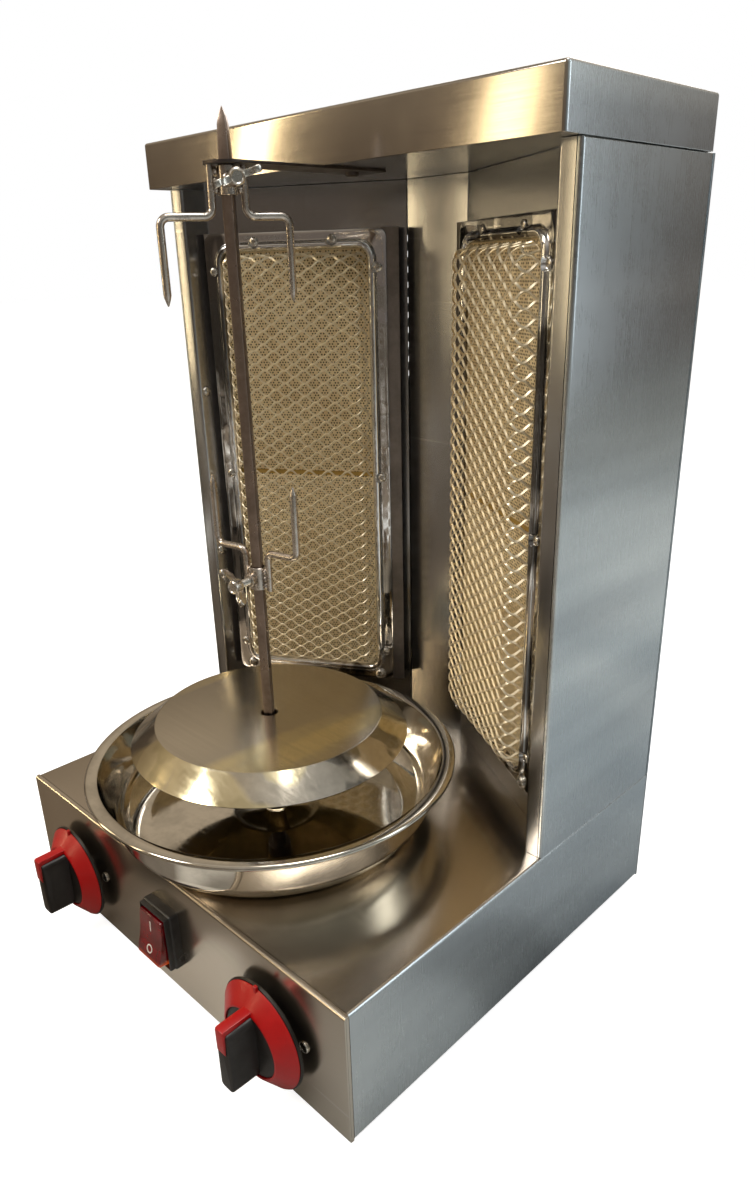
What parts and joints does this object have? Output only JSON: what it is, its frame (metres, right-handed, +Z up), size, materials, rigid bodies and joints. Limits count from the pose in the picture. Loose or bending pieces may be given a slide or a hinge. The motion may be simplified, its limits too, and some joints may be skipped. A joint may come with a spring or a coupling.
{
  "type": "vertical rotisserie broiler",
  "caption": "Counter-top vertical rotisserie with angled ceramic gas burners, turning spit with forks, round drip pan, gas knobs and rocker switch.",
  "frame": {"origin": "centre of the bounding box in x and y, on the surface the rubber feet stand on", "axes": "+X to the right seen from the front panel, +Y to the back, +Z up"},
  "size_m": [0.2816, 0.306, 0.44],
  "materials": {
    "stainless_brushed": "brushed",
    "stainless_side": "brushed",
    "mirror_steel": "mirror polished",
    "spit_steel": "drawn",
    "guard_steel": "galvanised",
    "ceramic_tile": "matt",
    "gasket_fibre": "matt",
    "steel_dark": "satin",
    "steel_inner": "mill",
    "brass_gas": "machined",
    "copper_pipe": "drawn",
    "screw_steel": "plated",
    "rubber_black": "matt",
    "knob_black": "satin",
    "knob_red": "satin",
    "switch_black": "satin",
    "rocker_red": "translucent gloss",
    "motor_grey": "satin"
  },
  "bodies": {
    "cabinet": {"base_wrap": "stainless_brushed", "front_panel": "stainless_brushed", "base_rear_panel": "stainless_side", "bottom_cover": "steel_inner", "rubber_feet": "rubber_black", "foot_screws": "screw_steel", "tower_side_left": "stainless_side", "tower_side_right": "stainless_side", "wing_panel_left": "stainless_brushed", "wing_panel_right": "stainless_brushed", "centre_back_panel": "stainless_brushed", "tower_rear_panel": "stainless_side", "ceiling_plate": "stainless_brushed", "top_hood": "stainless_brushed", "burner_mount_left": "steel_dark", "burner_mount_right": "steel_dark", "burner_housing_left": "steel_inner", "burner_housing_right": "steel_inner", "tile_gasket_left": "gasket_fibre", "tile_gasket_right": "gasket_fibre", "tiles_left": "ceramic_tile", "tiles_right": "ceramic_tile", "burner_frame_left": "mirror_steel", "burner_frame_right": "mirror_steel", "burner_guard_left": "guard_steel", "burner_guard_right": "guard_steel", "burner_screws": "screw_steel", "panel_screws": "screw_steel", "gas_valve_left": "brass_gas", "gas_valve_right": "brass_gas", "gas_manifold": "steel_inner", "feed_pipe_left": "copper_pipe", "feed_pipe_right": "copper_pipe", "switch_bezel": "switch_black", "switch_body": "switch_black", "cable_gland": "switch_black", "drive_motor": "motor_grey", "motor_bracket": "steel_inner", "bearing_bush": "brass_gas", "top_bracket": "steel_dark"},
    "rotor": {"drive_shaft": "steel_dark", "meat_plate": "stainless_brushed", "spit_rod": "spit_steel"},
    "upper_fork": {"upper_collar": "spit_steel", "upper_prongs": "spit_steel"},
    "lower_fork": {"lower_collar": "spit_steel", "lower_prongs": "spit_steel"},
    "upper_screw": {"upper_wing_screw": "screw_steel"},
    "lower_screw": {"lower_wing_screw": "screw_steel"},
    "drip_pan": {"drip_pan": "mirror_steel", "pan_wall": "mirror_steel"},
    "left_push": {"push_ring_left": "steel_inner"},
    "right_push": {"push_ring_right": "steel_inner"},
    "left_knob": {"knob_left": "knob_black", "knob_skirt_left": "knob_red", "knob_pointer_left": "knob_red"},
    "right_knob": {"knob_right": "knob_black", "knob_skirt_right": "knob_red", "knob_pointer_right": "knob_red"},
    "rocker": {"switch_rocker": "rocker_red"}
  },
  "joints": [
    {"name": "spit_spin", "type": "hinge", "parent": "cabinet", "child": "rotor", "pos_m": [0, -0.0435, 0.1], "axis": [0, 0, 1], "continuous": true},
    {"name": "upper_fork_slide", "type": "slide", "parent": "rotor", "child": "upper_fork", "axis": [0, 0, 1], "range_m": [-0.08, 0]},
    {"name": "lower_fork_slide", "type": "slide", "parent": "rotor", "child": "lower_fork", "axis": [0, 0, 1], "range_m": [-0.06, 0.08]},
    {"name": "upper_screw_turn", "type": "hinge", "parent": "upper_fork", "child": "upper_screw", "pos_m": [0, -0.0435, 0.4088], "axis": [0.9135, -0.4067, 0], "range_deg": [0, 360]},
    {"name": "lower_screw_turn", "type": "hinge", "parent": "lower_fork", "child": "lower_screw", "pos_m": [0, -0.0435, 0.2235], "axis": [0.1392, -0.9903, 0], "range_deg": [0, 360]},
    {"name": "pan_lift", "type": "slide", "parent": "cabinet", "child": "drip_pan", "axis": [0, 0, 1], "range_m": [0, 0.012]},
    {"name": "left_knob_push", "type": "slide", "parent": "cabinet", "child": "left_push", "axis": [0, 1, 0], "range_m": [0, 0.0024], "stiffness_N_per_m": 1000},
    {"name": "left_knob_turn", "type": "hinge", "parent": "left_push", "child": "left_knob", "pos_m": [-0.088, -0.134, 0.039], "axis": [0, -1, 0], "range_deg": [0, 180]},
    {"name": "right_knob_push", "type": "slide", "parent": "cabinet", "child": "right_push", "axis": [0, 1, 0], "range_m": [0, 0.0024], "stiffness_N_per_m": 1000},
    {"name": "right_knob_turn", "type": "hinge", "parent": "right_push", "child": "right_knob", "pos_m": [0.088, -0.134, 0.039], "axis": [0, -1, 0], "range_deg": [0, 180]},
    {"name": "switch_rock", "type": "hinge", "parent": "cabinet", "child": "rocker", "pos_m": [0.001, -0.127, 0.0448], "axis": [1, 0, 0], "range_deg": [0, 20]}
  ]
}
